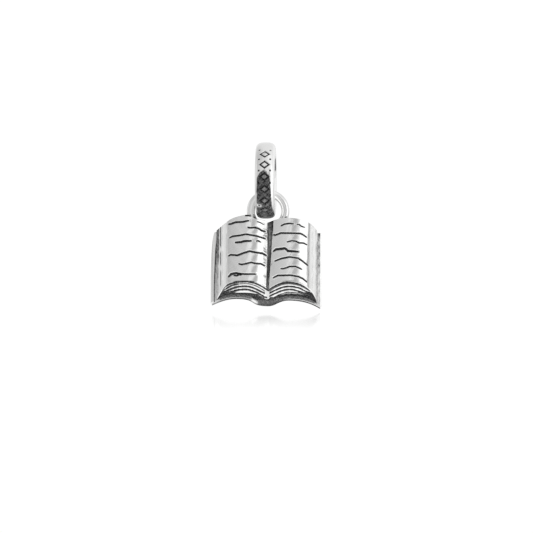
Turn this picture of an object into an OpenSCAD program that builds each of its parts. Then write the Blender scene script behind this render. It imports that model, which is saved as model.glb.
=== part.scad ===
// Open book charm that hangs by a soldered ring from a slide-on bail.
// Millimetres. X runs across the pages, Y runs from the pages to the cover, Z is up.
// The origin is the top inside of the bail's hole, where the chain bears.

/* [Bail] */
// Outer diameter of the bail
bail_d = 7.64; // [7.4:0.02:7.7]
// Diameter of the hole that the chain passes through
bail_hole_d = 3.96; // [3.9:0.02:4.1]
// Width of the bail's band
bail_w = 1.96; // [1.9:0.02:2.0]
// Rounding of the band's outer edges
bail_outer_round = 0.6; // [0.4:0.05:0.7]
// Rounding of the band's edges at the hole
bail_inner_round = 0.91; // [0.85:0.01:0.91]
// Turn of the bail about the vertical, in degrees
bail_turn = 2.5; // [0:0.5:3]

/* [Bail ornament] */
// Number of engraved lozenges on the front of the band
lozenge_count = 6; // [2:1:7]
// Angle between two lozenges, in degrees
lozenge_pitch = 19; // [17:0.5:22]
// Size of a lozenge across the band
lozenge_w = 1.15; // [0.6:0.05:1.2]
// Size of a lozenge along the band
lozenge_h = 0.95; // [0.5:0.05:1.0]
// Diameter of the dots between the lozenges
dot_d = 0.22; // [0.1:0.02:0.3]
// Depth of the engraving
ornament_depth = 0.12; // [0.05:0.01:0.2]

/* [Ring] */
// Outer diameter of the ring
ring_d = 4.28; // [4.26:0.01:4.32]
// Diameter of the ring's wire
ring_wire = 0.83; // [0.78:0.01:0.85]
// Distance of the ring's centre to the right of the bail's centre
ring_shift = 0.22; // [0.15:0.01:0.26]
// Distance from the bail's centre down to the ring's top wire centre
ring_seat = 1.33; // [1.31:0.01:1.35]

/* [Book] */
// Distance of the gutter to the right of the bail's centre
book_shift = 0.26; // [0.2:0.02:0.3]
// Height of the pages
page_h = 6.6; // [6:0.02:7]
// Distance from the ring's centre up to the crest of the pages, negative when below
page_top_above_ring = -0.39; // [-0.45:0.01:-0.35]
// Depth from the crest of the pages back to the ring's middle plane
ring_depth = 1.38; // [1.3:0.02:1.4]
// Fall of the top end for each millimetre of depth
top_slant = 0.64; // [0.6:0.01:0.8]
// Fall of the bottom end for each millimetre of depth
bottom_slant = 0.9; // [0.8:0.01:1.0]
// Depth of the pages at the gutter
gutter_depth = 0.91; // [0.8:0.01:1.1]
// Width of the open slot along the gutter
gutter_slot_w = 0.3; // [0.2:0.02:0.4]
// Depth of the slot along the gutter
gutter_slot_depth = 0.2; // [0.1:0.02:0.3]
// Thickness of the paper stack at the crest
stack_t = 1.28; // [1.1:0.01:1.3]
// Width of a groove between leaves
leaf_groove_w = 0.08; // [0.05:0.01:0.1]
// Depth of the grooves between leaves
leaf_groove_depth = 0.14; // [0.08:0.01:0.2]

/* [Left half] */
// Distance from the gutter to the crest of the left pages
left_crest_x = 2.37; // [2.1:0.01:2.5]
// Depth of the left crest behind the right one
left_crest_depth = 0.02; // [0:0.01:0.2]
// Distance from the gutter to the left pages' lip
left_lip_x = 5.2; // [5.0:0.01:5.3]
// Depth of the left pages' lip
left_lip_depth = 2.02; // [1.8:0.01:2.2]
// Distance from the gutter to the shallowest part of the cover's left board
left_board_x = 3.2; // [3:0.05:3.4]
// Depth of the outside of the left board there
left_board_depth = 2.02; // [1.9:0.01:2.1]
// Distance from the gutter to the cover's left edge
left_edge_x = 5.8; // [5.6:0.01:5.9]
// Depth of the cover's left edge
left_edge_depth = 2.83; // [2.7:0.01:3.0]

/* [Right half] */
// Distance from the gutter to the crest of the right pages
right_crest_x = 1.97; // [1.9:0.01:2.4]
// Distance from the gutter to the right pages' lip
right_lip_x = 4.92; // [4.8:0.01:5.0]
// Depth of the right pages' lip
right_lip_depth = 2.46; // [2.3:0.01:2.5]
// Distance from the gutter to the shallowest part of the cover's right board
right_board_x = 2.03; // [1.9:0.05:2.4]
// Depth of the outside of the right board there
right_board_depth = 2.2; // [2.1:0.01:2.3]
// Distance from the gutter to the cover's right edge
right_edge_x = 5.33; // [5.3:0.01:5.6]
// Depth of the cover's right edge
right_edge_depth = 3.24; // [3.1:0.01:3.3]

/* [Cover] */
// Thickness of the cover
cover_t = 0.24; // [0.2:0.01:0.3]
// Depth of the spine's outside
spine_depth = 2.83; // [2.7:0.01:2.9]
// Depth of the recess between the paper and the cover
recess = 0.28; // [0.2:0.01:0.35]
// Width of the slope at the cover's upper left corner
corner_run = 0.46; // [0.3:0.02:0.6]
// Distance from the top of the pages down to that slope
corner_drop = 1.62; // [1.5:0.01:1.8]
// Height of the slope at the cover's upper left corner
corner_fall = 4.5; // [2:0.1:5]

/* [Engraved lines] */
// Width of the engraved lines on the pages
line_w = 0.14; // [0.1:0.01:0.18]
// Depth of the engraved lines on the pages
line_depth = 0.1; // [0.05:0.01:0.15]

/* [Hidden] */
$fn = 64;

bail_r = bail_d / 2;
bail_hole_r = bail_hole_d / 2;
bail_z = -bail_hole_r;
// Angle of the row's middle below the middle of the front
lozenge_middle = 5;
lozenge_first = lozenge_middle - lozenge_pitch * (lozenge_count - 1) / 2;
// Distance of the dots from the middle of the band
dot_x = 0.55;

ring_r = (ring_d - ring_wire) / 2;
pivot_z = bail_z - ring_seat;
ring_z = pivot_z - ring_r;

crest_y = -ring_depth;
page_top_z = ring_z + page_top_above_ring;
page_bottom_z = page_top_z - page_h;

// Columns of the table of one half of the book
SIDE = 0;
CREST_X = 1;
CREST_D = 2;
LIP_X = 3;
LIP_D = 4;
BOARD_X = 5;
BOARD_D = 6;
EDGE_X = 7;
EDGE_D = 8;
// Columns of the handles of its curves, as shares: two or three for each curve
RISE = 9;
FALL = 12;
SPINE = 15;
BOARD = 17;
left_half = [-1, left_crest_x, left_crest_depth, left_lip_x, left_lip_depth,
             left_board_x, left_board_depth, left_edge_x, left_edge_depth,
             0.35, 0.58, 0.3, 0.66, 0.66, 0.1, 0.64, 0.34, 0.37, 0.67, 0.42];
right_half = [1, right_crest_x, 0, right_lip_x, right_lip_depth,
              right_board_x, right_board_depth, right_edge_x, right_edge_depth,
              0.27, 0.58, 0.71, 0.61, 0.87, 0.45, 0.36, 0.5, 0.44, 0.73, 0.39];
// Top end: the points [x, fall] of its outline, left to right, measured down from page_top_z
top_falls = [
    [-5.9, 0.1], [-5.5, 0.1], [-5.1, 0.27], [-4.4, 0.52], [-3.5, 0.25], [-2.2, -0.04],
    [-1.4, 0], [0, 0.18], [2.1, 0.3], [4, 0.3], [4.9, 0.12], [5.4, -0.2]
];
// Height of the ring's level that the engraved lines are measured from, above page_top_z
lines_level = 0.24;
// Grooves between the leaves, as shares of the stack's thickness
leaf_shares = [0.17, 0.41, 0.67];
// Least thickness of the paper along the fore-edge
lip_t = 0.16;
// Thickness of the paper at the gutter
gutter_stack_t = 1.35;
// Share of the stack where the filling behind it begins
fill_share = 0.9;
curve_steps = 10;
corner_steps = 8;
// Steps of the curve where a groove runs up the fore-edge
fore_edge_steps = [4, 6, 8];
// Margin that the engraved lines keep from the ends, and their start in front of the paper
line_margin = 0.1;
line_start = -0.1;
// Half of a cube that is larger than the book
reach = 20;
// Clear radius around the ring's top wire, where the bail passes, and the room beside the bail
relief_r = 2.77;
relief_side = 0.15;
// Cone on either side of that clearance
relief_cone_w = 0.8;
relief_cone_fall = 0.4;

// Each engraved line: the points [x, z] that it runs through, z from the lines' own level
left_lines = [
    [[-4.0, -1.15], [-3.3, -0.95], [-2.0, -0.8]],
    [[-2.05, -1.5], [-1.35, -1.5], [-0.35, -1.9]],
    [[-3.9, -2.5], [-3.4, -2.3], [-2.25, -2.15], [-1.3, -2.3], [-0.35, -2.6]],
    [[-3.3, -3.0], [-1.8, -2.82]],
    [[-4.0, -4.3], [-3.1, -4.2], [-1.9, -3.85], [-0.8, -4.05], [-0.2, -4.25]],
    [[-2.9, -5.15], [-2.5, -5.15], [-1.75, -4.95], [-0.9, -5.1], [-0.3, -5.3]],
    [[-4.0, -6.35], [-3.4, -6.05], [-2.7, -6.15], [-1.35, -6.15]]
];
right_lines = [
    [[1.25, -1.3], [1.8, -1.1], [2.5, -1.1]],
    [[2.85, -1.2], [3.6, -1.45]],
    [[0.5, -2.25], [1.2, -2.05], [2.5, -2.05], [3.3, -2.1], [3.8, -2.4]],
    [[1.85, -2.9], [2.5, -2.75], [3.1, -2.95], [3.8, -3.15]],
    [[0.5, -3.8], [1.7, -3.55], [2.0, -3.75], [3.0, -3.9]],
    [[0.6, -4.8], [1.25, -4.55], [2.2, -4.4], [3.1, -4.55], [4.0, -5.2]],
    [[1.2, -5.55], [2.2, -5.35], [2.9, -5.35], [3.3, -5.6]],
    [[0.45, -6.5], [1.0, -6.25], [2.2, -6.25], [3.1, -6.4], [3.8, -6.85]]
];

function mix(a, b, t) = a + (b - a) * t;

// Point at t of the cubic curve from a to d that leaves towards b and arrives from c
function bezier(a, b, c, d, t) =
    a * pow(1 - t, 3) + b * 3 * t * pow(1 - t, 2) + c * 3 * t * t * (1 - t) + d * pow(t, 3);

// Curve between two points [x, depth] that starts after run_a and ends after run_b,
// both shares of the way across, with the two handles' own depths
function curve(a, b, run_a, depth_a, run_b, depth_b, first = 0) =
    [for (i = [first : curve_steps])
        bezier(a, [mix(a[0], b[0], run_a), depth_a], [mix(a[0], b[0], run_b), depth_b], b,
               i / curve_steps)];

// Paper surface of one half, from the gutter to the crest
function page_rise(h) =
    curve([0, gutter_depth], [h[CREST_X], h[CREST_D]],
          h[RISE], mix(gutter_depth, h[CREST_D], h[RISE + 1]), h[RISE + 2], h[CREST_D]);

// Paper surface and fore-edge of one half, from the crest to the lip
function page_fall(h) =
    curve([h[CREST_X], h[CREST_D]], [h[LIP_X], h[LIP_D]],
          h[FALL], h[CREST_D], h[FALL + 1], mix(h[CREST_D], h[LIP_D], h[FALL + 2]), 1);

// Surface that lies the share s of the stack behind the page, 0 at the page and 1 at the back
function leaf(h, s) = concat(
    [for (p = page_rise(h)) [p[0], p[1] + s * mix(gutter_stack_t, stack_t, p[0] / h[CREST_X])]],
    [for (p = page_fall(h)) [p[0], p[1] + s * max(lip_t, h[CREST_D] + stack_t - p[1])]]);

// Outside of the cover of one half, from the spine to the cover's edge, shifted by dy
function cover_side(h, dy) =
    let (board = [h[BOARD_X], h[BOARD_D]])
    [for (p = concat(
        curve([0, spine_depth], board, h[SPINE], spine_depth, h[SPINE + 1], h[BOARD_D]),
        curve(board, [h[EDGE_X], h[EDGE_D]], h[BOARD], h[BOARD_D],
              h[BOARD + 1], mix(h[BOARD_D], h[EDGE_D], h[BOARD + 2]), 1))) p + [0, dy]];

function reversed(v) = [for (i = [len(v) - 1 : -1 : 0]) v[i]];

// The same points on their own side of the gutter
function placed(h, v) = [for (p = v) [h[SIDE] * p[0], p[1]]];

// Strip across both halves between two surfaces, each given for the left and the right
module strip(left_front, right_front, left_back, right_back) {
    polygon(concat(
        reversed(placed(left_half, left_front)), placed(right_half, right_front),
        reversed(placed(right_half, right_back)), placed(left_half, left_back)));
}

// Paper from the share a to the share b of the stack
module leaves(a, b) {
    strip(leaf(left_half, a), leaf(right_half, a), leaf(left_half, b), leaf(right_half, b));
}

module cover_plate() {
    strip(cover_side(left_half, -cover_t), cover_side(right_half, -cover_t),
          cover_side(left_half, 0), cover_side(right_half, 0));
}

// Worn slope at the cover's upper left corner, seen from the front
module corner_cut() {
    slope = [for (i = [0 : corner_steps])
        bezier([0, -corner_fall], [0.07 * corner_run, -0.55 * corner_fall],
               [0.26 * corner_run, -0.08 * corner_fall], [corner_run, 0], i / corner_steps)];
    translate([-left_edge_x, 2 * spine_depth, page_top_z - corner_drop])
        rotate([90, 0, 0])
            linear_extrude(height = 2 * spine_depth)
                polygon(concat(slope, [[corner_run, 1], [-1, 1], [-1, -corner_fall]]));
}

// Filling between the paper and the cover, set back from the lips
module core_fill() {
    intersection() {
        strip(leaf(left_half, fill_share), leaf(right_half, fill_share),
              cover_side(left_half, -cover_t / 2), cover_side(right_half, -cover_t / 2));
        translate([-left_lip_x + recess, 0])
            square([left_lip_x + right_lip_x - 2 * recess, 2 * spine_depth]);
    }
}

// Everything below the top end, which is bent across the book and falls with the depth
module below_top(inset) {
    fall = atan(top_slant);
    left_fall = top_falls[0][1];
    right_fall = top_falls[len(top_falls) - 1][1];
    outline = concat([[-reach, left_fall]], top_falls, [[reach, right_fall]]);
    translate([0, 0, page_top_z - inset])
        rotate([-fall, 0, 0])
            translate([0, reach, 0])
                rotate([90, 0, 0])
                    linear_extrude(height = 2 * reach)
                        polygon(concat([for (p = outline) [p[0], -p[1] * cos(fall)]],
                                       [[reach, -2 * reach], [-reach, -2 * reach]]));
}

// Everything above the bottom end and below the top end, moved in by the amount inset
module between_ends(inset = 0) {
    intersection() {
        below_top(inset);
        translate([0, 0, page_bottom_z + inset])
            rotate([-atan(bottom_slant), 0, 0])
                translate([-reach, -reach, 0])
                    cube(2 * reach);
    }
}

// A profile of the book raised along Z and cut at the slanted ends
module raised(inset = 0) {
    intersection() {
        translate([0, 0, page_bottom_z - reach / 2])
            linear_extrude(height = page_h + reach)
                children();
        between_ends(inset);
    }
}

// Grooves between the leaves, at both ends
module leaf_groove_cuts() {
    difference() {
        translate([0, 0, page_bottom_z - reach / 2])
            linear_extrude(height = page_h + reach)
                for (share = leaf_shares)
                    leaves(share, share + leaf_groove_w / stack_t);
        between_ends(leaf_groove_depth);
    }
}

// Upright grooves between the leaves on the two fore-edges
module fore_edge_cuts(h) {
    for (i = fore_edge_steps) {
        p = page_fall(h)[i];
        translate([h[SIDE] * p[0], p[1], page_bottom_z - reach / 2])
            cylinder(d = leaf_groove_w, h = page_h + reach);
    }
}

// One straight stretch of an engraved line, seen from the front
module line_stretch(a, b) {
    translate(a)
        rotate(atan2(b[1] - a[1], b[0] - a[0]))
            translate([0, -line_w / 2])
                square([norm(b - a), line_w]);
    translate(b)
        circle(d = line_w);
}

// Engraved lines of both pages, as deep as line_depth below the paper
module line_cuts() {
    intersection() {
        translate([0, spine_depth, page_top_z + lines_level])
            rotate([90, 0, 0])
                linear_extrude(height = 2 * spine_depth)
                    for (points = concat(left_lines, right_lines))
                        for (i = [1 : len(points) - 1])
                            line_stretch(points[i - 1], points[i]);
        raised(line_margin)
            leaves(line_start, line_depth / stack_t);
    }
}

// Clearance that the swinging book needs under the bail
module bail_relief() {
    translate([-book_shift, ring_depth, pivot_z])
        rotate([0, 90, 0]) {
            cylinder(r = relief_r, h = bail_w + 2 * relief_side, center = true);
            for (side = [0, 1])
                mirror([0, 0, side])
                    translate([0, 0, bail_w / 2])
                        cylinder(r1 = relief_r, r2 = relief_r - relief_cone_fall, h = relief_cone_w);
        }
}

// Open slot along the gutter, below the ring's hole
module gutter_slot() {
    slot_h = page_h + reach / 2;
    translate([-gutter_slot_w / 2, 0, ring_z - slot_h])
        cube([gutter_slot_w, gutter_depth + gutter_slot_depth, slot_h]);
}

module book_form() {
    difference() {
        union() {
            raised() leaves(0, 1);
            difference() {
                raised() cover_plate();
                corner_cut();
            }
            raised(recess) core_fill();
        }
        leaf_groove_cuts();
        fore_edge_cuts(left_half);
        fore_edge_cuts(right_half);
        line_cuts();
        bail_relief();
    }
}

module ring() {
    translate([ring_shift - book_shift, ring_depth, ring_z])
        rotate([90, 0, 0])
            rotate_extrude()
                translate([ring_r, 0])
                    circle(d = ring_wire, $fn = 48);
}

// Section of the bail's band, with the hole's axis along the section's Y axis
module bail_section() {
    round_w = bail_w / 2 - bail_outer_round;
    seat_w = bail_w / 2 - bail_inner_round;
    translate([bail_hole_r + bail_inner_round, -bail_w / 2])
        square([bail_r - bail_hole_r - bail_inner_round - bail_outer_round, bail_w]);
    translate([bail_r - 2 * bail_outer_round, -round_w])
        square([2 * bail_outer_round, 2 * round_w]);
    translate([bail_hole_r, -seat_w])
        square([2 * bail_inner_round, 2 * seat_w]);
    for (side = [-1, 1]) {
        translate([bail_r - bail_outer_round, side * round_w])
            circle(r = bail_outer_round);
        translate([bail_hole_r + bail_inner_round, side * seat_w])
            circle(r = bail_inner_round);
    }
}

// Lozenges and dots engraved on the front of the band
module bail_ornament() {
    for (i = [0 : lozenge_count - 1])
        rotate([lozenge_first + i * lozenge_pitch, 0, 0])
            translate([0, -(bail_r - ornament_depth), 0])
                rotate([90, 0, 0])
                    linear_extrude(height = 1)
                        polygon([[-lozenge_w / 2, 0], [0, -lozenge_h / 2],
                                 [lozenge_w / 2, 0], [0, lozenge_h / 2]]);
    for (i = [0 : lozenge_count], side = [-1, 1])
        rotate([lozenge_first + (i - 0.5) * lozenge_pitch, 0, 0])
            translate([side * dot_x, -(bail_r - ornament_depth), 0])
                rotate([90, 0, 0])
                    cylinder(d = dot_d, h = 1, $fn = 24);
}

module bail() {
    color("silver")
        translate([0, 0, bail_z])
            rotate([0, 0, -bail_turn])
                difference() {
                    rotate([0, 90, 0])
                        rotate_extrude($fn = 96)
                            bail_section();
                    bail_ornament();
                }
}

module book() {
    color("silver")
        translate([book_shift, crest_y, 0])
            difference() {
                union() {
                    book_form();
                    ring();
                }
                gutter_slot();
            }
}

bail();
book();
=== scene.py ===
"""Looks of the open book charm: polished silver with oxidised recesses, on a pale floor."""

import math

import bmesh
import bpy
import numpy as np
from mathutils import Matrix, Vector


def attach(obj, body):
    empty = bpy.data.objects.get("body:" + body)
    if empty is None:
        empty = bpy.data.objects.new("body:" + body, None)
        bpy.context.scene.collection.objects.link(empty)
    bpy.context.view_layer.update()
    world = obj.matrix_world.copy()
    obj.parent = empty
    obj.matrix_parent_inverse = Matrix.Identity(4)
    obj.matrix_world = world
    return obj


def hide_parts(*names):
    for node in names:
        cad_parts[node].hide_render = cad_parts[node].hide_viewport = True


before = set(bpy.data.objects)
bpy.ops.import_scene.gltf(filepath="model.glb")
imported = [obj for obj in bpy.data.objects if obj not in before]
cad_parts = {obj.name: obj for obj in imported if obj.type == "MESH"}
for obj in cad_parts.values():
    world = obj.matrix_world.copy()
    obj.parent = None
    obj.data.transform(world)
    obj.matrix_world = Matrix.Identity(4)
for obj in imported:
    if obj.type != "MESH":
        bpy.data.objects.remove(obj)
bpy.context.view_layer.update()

MM = 0.001

# Sizes in millimetres. The large forms are those of the solid model, apart from what says
# otherwise; inner faces and fine relief have sizes of their own.
BAIL_R = 3.82
BAIL_HOLE_R = 1.98
BAIL_W = 1.96
BAIL_INNER_ROUND = 0.91
BAIL_TURN = math.radians(2.5)
BAIL_Z = -BAIL_HOLE_R
# The outside of the band is domed, at most 0.025 inside the solid's: how far its edges lie below
# its middle, and the dome's power
DOME_FALL = 0.8
DOME_POWER = 3.0

LOZENGE_COUNT = 6
LOZENGE_PITCH = math.radians(19)
LOZENGE_MIDDLE = math.radians(-5)
LOZENGE_W = 1.15
LOZENGE_H = 0.95
DOT_R = 0.11
DOT_X = 0.55
ENGRAVING = 0.1

RING_X = 0.22
RING_WIRE_R = 0.415
RING_R = 1.725
PIVOT_Z = BAIL_Z - 1.33
RING_Z = PIVOT_Z - RING_R

BOOK_X = 0.26
CREST_Y = -1.38
PAGE_TOP_Z = RING_Z - 0.39
PAGE_BOTTOM_Z = PAGE_TOP_Z - 6.6
LINES_Z = PAGE_TOP_Z + 0.24
TOP_SLANT = 0.64
BOTTOM_SLANT = 0.9
GUTTER_DEPTH = 0.91
STACK_T = 1.28
GUTTER_STACK_T = 1.35
LIP_T = 0.16
SPINE_T = 0.5
SPINE_DEPTH = 2.83
# The filling lies this far inside the ends and the lips, and starts at this share of the paper
RECESS = 0.28
FILLING_FRONT = 0.85
# The cover's thickness at its rims; elsewhere its inside lies RIM_STEP deeper, as the solid's does
COVER_T = 0.29
RIM_STEP = 0.05

# Worn upper left corner of the cover, and its curve's handles as shares (of the run, of the fall)
CORNER_RUN = 0.46
CORNER_DROP = 1.62
CORNER_FALL = 4.5
CORNER_HANDLES = [(0.07, 0.55), (0.26, 0.08)]

# Relief in the top end where the bail swings past: its radius is 0.02 more than the solid's, and
# up to 0.1 more beside the bail
RELIEF_R = 2.79
RELIEF_HALF_W = 1.13
RELIEF_END = 1.9
RELIEF_TAPER = 0.5

# Depths and roundings of the fine relief
EDGE_ROUND = 0.05
COVER_ROUND = 0.045
LEAF_GROOVE = 0.05
FORE_EDGE_GROOVE = 0.03
BORDER_STEP = 0.05
GUTTER_GROOVE = 0.2
LINE_DEPTH = 0.08
LINE_BURR = 0.014
TWIST_DEPTH = 0.09
TWIST_W = 0.8
TWIST_FADE = 0.16

# Points closer than this merge, and edges sharper than this stay sharp
MERGE = 0.002
SHARP_DEGREES = 60

# Solder at the ring's foot: the share that it adds to the wire, and its reach
SOLDER_FLARE = 0.22
SOLDER_REACH = 0.16

# Top end: the points (x, fall below PAGE_TOP_Z) of its outline
TOP_FALLS = [(-5.9, 0.1), (-5.5, 0.1), (-5.1, 0.27), (-4.4, 0.52), (-3.5, 0.25), (-2.2, -0.04),
             (-1.4, 0.0), (0.0, 0.18), (2.1, 0.3), (4.0, 0.3), (4.9, 0.12), (5.4, -0.2)]

# Each half: its side, points as (distance from the gutter, depth), and the handles of its
# curves as shares. The border parts the page from the fore-edge; the rim is the width of the
# cover's bright margin; the hem is painted shade along the page's lower edge.
# The painted shade bands on the open paper, dark where it mirrors the darker parts of the
# studio: (distance from the gutter, strength)
# grooves of the fore-edge: (distance from the border, half width, strength)
# fold, the pale strip beside the gutter: (share of the stack's thickness, width)
# stain of the leaves' ends: (distance from the gutter, share of the thickness where it starts)
# leaves, the dark lines between them: (half width, strength, distance from the gutter where the
# line starts, points as (distance from the gutter, share of the stack's thickness))
LEFT = {
    "side": -1, "crest": (2.37, 0.02), "lip": (5.2, 2.02), "board": (3.2, 2.02),
    "edge": (5.8, 2.83), "rise": (0.35, 0.58, 0.3), "fall": (0.66, 0.66, 0.1),
    "spine": (0.64, 0.34), "back": (0.37, 0.67, 0.42), "border": 4.17, "rim": 0.3,
    "painted_hem_shade": 0.9,
    "painted_shade_bands": [(1.1, 0.0), (1.2, 0.1), (1.5, 0.1), (1.6, 0.0), (2.05, 0.0), (2.15, 0.17),
                (4.1, 0.19)],
    "grooves": [(0.02, 0.05, 0.15), (0.42, 0.035, 0.12), (0.94, 0.035, 0.85)],
    "fold": [(0.4, 0.24), (0.75, 0.08)],
    "stain": [(0.0, 0.84), (0.2, 0.95), (0.6, 1.1), (1.0, 1.2)],
    "leaves": [
        (0.095, 1.0, -1.0, [(0.0, 0.09), (0.2, 0.07), (0.7, 0.12), (1.1, 0.12), (2.0, 0.0),
                            (2.6, 0.0), (3.3, 0.04), (4.0, 0.11)]),
        (0.065, 0.85, 0.28, [(0.3, 0.34), (0.8, 0.38), (1.3, 0.32), (2.0, 0.19), (2.6, 0.19),
                             (3.2, 0.24), (3.6, 0.3), (4.1, 0.45), (4.3, 0.52)]),
        (0.085, 1.0, 2.9, [(2.9, 0.22), (3.2, 0.24), (3.6, 0.3), (4.1, 0.45), (4.3, 0.52)]),
        (0.1, 1.0, 0.28, [(0.3, 0.51), (0.6, 0.61), (1.0, 0.65), (1.3, 0.6), (1.8, 0.48),
                          (2.3, 0.44), (2.8, 0.46), (3.2, 0.52), (3.6, 0.61), (4.0, 0.76),
                          (4.3, 0.84)]),
        (0.1, 1.0, 0.42, [(0.4, 0.78), (0.65, 0.94), (1.0, 0.9), (1.3, 0.88), (1.6, 0.83),
                          (2.0, 0.74), (2.4, 0.72), (2.8, 0.75), (3.2, 0.82), (3.6, 0.93),
                          (4.0, 1.05)]),
        (0.08, 1.0, 0.06, [(0.1, 0.76), (0.3, 0.84), (0.5, 0.93), (0.9, 1.1), (1.3, 1.3)])]}
RIGHT = {
    "side": 1, "crest": (1.97, 0.0), "lip": (4.92, 2.46), "board": (2.03, 2.2),
    "edge": (5.33, 3.24), "rise": (0.27, 0.58, 0.71), "fall": (0.61, 0.87, 0.45),
    "spine": (0.36, 0.5), "back": (0.44, 0.73, 0.39), "border": 4.1, "rim": 0.08,
    "painted_hem_shade": 0.6,
    "painted_shade_bands": [(1.9, 0.08), (1.95, 0.0), (2.05, 0.0), (2.15, 0.12), (2.3, 0.12), (2.35, 0.02),
                (2.45, 0.14), (2.85, 0.14), (3.0, 0.05), (3.4, 0.03)],
    "grooves": [(0.26, 0.03, 0.2), (0.35, 0.03, 0.25), (0.58, 0.035, 0.2), (0.68, 0.04, 0.5)],
    "fold": [(0.0, 0.02), (1.0, 0.02)],
    "stain": [(0.0, 0.84), (0.2, 0.8), (0.6, 1.04), (1.0, 1.2)],
    "leaves": [
        (0.11, 1.0, -1.0, [(0.0, 0.09), (0.2, 0.03), (0.8, 0.05), (1.6, 0.09), (2.4, 0.11),
                           (3.2, 0.16), (3.9, 0.34), (4.2, 0.5)]),
        (0.12, 0.95, 1.6, [(1.4, 0.1), (2.4, 0.15), (3.2, 0.21), (3.9, 0.4), (4.2, 0.56)]),
        (0.095, 0.9, 0.02, [(0.1, 0.23), (0.5, 0.19), (1.6, 0.2), (2.4, 0.21), (3.2, 0.27),
                             (3.6, 0.36), (3.9, 0.5), (4.2, 0.65)]),
        (0.095, 1.0, 0.02, [(0.1, 0.4), (0.4, 0.46), (1.0, 0.48), (2.3, 0.48), (2.8, 0.52),
                            (3.2, 0.59), (3.6, 0.8), (3.9, 0.95)]),
        (0.095, 1.0, 0.02, [(0.2, 0.68), (0.5, 0.75), (1.4, 0.77), (2.4, 0.75), (2.8, 0.84),
                            (3.2, 0.98), (3.6, 1.15)]),
        (0.08, 1.0, 0.02, [(0.1, 0.95), (0.4, 1.06), (1.3, 1.06), (2.0, 1.01), (2.4, 1.02),
                           (2.8, 1.1)])]}

# Engraved lines of the pages: width, and the points (x from the gutter, z from the lines' level)
LINES = [
    (0.16, [(-2.3, -0.3), (-2.0, -0.28), (-1.55, -0.34)]),
    (0.17, [(-4.0, -1.17), (-3.75, -1.14), (-3.3, -0.98), (-2.6, -0.95), (-2.0, -0.82)]),
    (0.15, [(-2.05, -1.48), (-1.85, -1.54), (-1.3, -1.5), (-0.95, -1.62), (-0.65, -1.8),
            (-0.3, -1.9)]),
    (0.08, [(-1.1, -0.92), (-0.8, -1.0), (-0.45, -1.2)]),
    (0.15, [(-3.9, -2.52), (-3.6, -2.38), (-2.9, -2.3), (-2.25, -2.17), (-1.3, -2.32),
            (-0.3, -2.6)]),
    (0.2, [(-3.3, -3.0), (-2.75, -2.96), (-2.4, -2.86), (-1.75, -2.84)]),
    (0.12, [(-1.2, -2.86), (-1.0, -2.82), (-0.78, -2.95)]),
    (0.17, [(-4.0, -4.32), (-3.8, -4.22), (-3.1, -4.28), (-2.5, -4.05), (-1.88, -3.86),
            (-1.2, -4.0), (-0.55, -4.08), (-0.2, -4.28)]),
    (0.15, [(-2.95, -5.12), (-2.7, -5.2), (-2.1, -5.08), (-1.75, -4.98), (-1.2, -5.1),
            (-0.7, -5.12), (-0.35, -5.3)]),
    (0.22, [(-4.0, -6.38), (-3.75, -6.15), (-3.2, -6.05), (-2.8, -6.2)]),
    (0.16, [(-3.45, -6.3), (-3.15, -6.3), (-2.9, -6.12), (-2.3, -6.15), (-1.3, -6.15)]),
    (0.13, [(1.22, -1.32), (1.6, -1.16), (2.05, -1.1), (2.48, -1.14)]),
    (0.11, [(2.85, -1.18), (3.05, -1.2), (3.3, -1.38), (3.6, -1.48)]),
    (0.15, [(0.48, -2.2), (0.62, -2.26), (1.2, -2.05), (2.4, -2.08), (3.2, -2.1), (3.5, -2.24),
            (3.82, -2.46)]),
    (0.13, [(1.85, -2.94), (2.35, -2.82), (2.75, -2.88), (3.05, -3.04), (3.55, -3.06),
            (3.85, -3.22)]),
    (0.22, [(0.48, -3.85), (0.7, -3.68), (1.6, -3.58), (1.8, -3.7), (1.9, -3.84), (2.5, -3.88),
            (2.95, -3.92)]),
    (0.15, [(0.6, -4.84), (1.3, -4.58), (2.1, -4.44), (2.95, -4.56), (3.4, -4.84),
            (3.95, -5.26)]),
    (0.13, [(1.2, -5.6), (1.5, -5.6), (2.1, -5.4), (2.7, -5.38), (3.1, -5.56), (3.3, -5.66)]),
    (0.15, [(0.45, -6.5), (0.9, -6.28), (2.2, -6.26), (3.0, -6.4), (3.45, -6.6),
            (3.85, -6.92)]),
]

# Slightly twisted panels between the engraved lines: the middle of the twist, and the z of the
# lines that part the panels
TWISTS = [(-1.42, [0.3, -1.5, -2.3, -3.95, -5.05, -6.15, -7.6]),
          (2.62, [0.0, -2.08, -2.95, -3.85, -4.5, -5.4, -6.3, -7.6])]

# Gutter: (z from the lines' level, middle, half width, oxide)
GUTTER = [(-7.25, -0.08, 0.1, 0.51), (-4.75, 0.05, 0.13, 0.59), (-2.75, 0.14, 0.15, 0.67),
          (-1.45, 0.22, 0.2, 0.85)]

# Left fore-edge, each with the z from the lines' level first: strength of the stain along the
# lip, its width, and strength of the row of dashes, which lies DASHES_X from the border
LIP_STAIN = [(-9.0, 0.15), (-7.4, 0.4), (-5.2, 0.62), (-4.4, 0.92), (-1.8, 0.97)]
LIP_STAIN_W = [(-5.4, 0.2), (-4.6, 0.27), (-2.4, 0.29)]
DASHES = [(-7.5, 0.0), (-7.2, 0.7), (-6.0, 0.7), (-5.7, 0.0), (-5.4, 0.0), (-5.1, 0.9),
          (-4.1, 0.9), (-3.8, 0.0), (-3.6, 0.0), (-3.3, 1.0), (-1.5, 1.0)]
DASHES_X = 0.61

# Right fore-edge: (z from the lines' level, first and last distance of the border's stain)
BORDER_STAIN = [(-7.8, -0.18, 0.0), (-7.3, -0.24, 0.0), (-6.0, -0.32, 0.01), (-5.0, -0.3, 0.02),
                (-3.8, -0.24, 0.03), (-1.5, -0.12, 0.09)]

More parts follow.
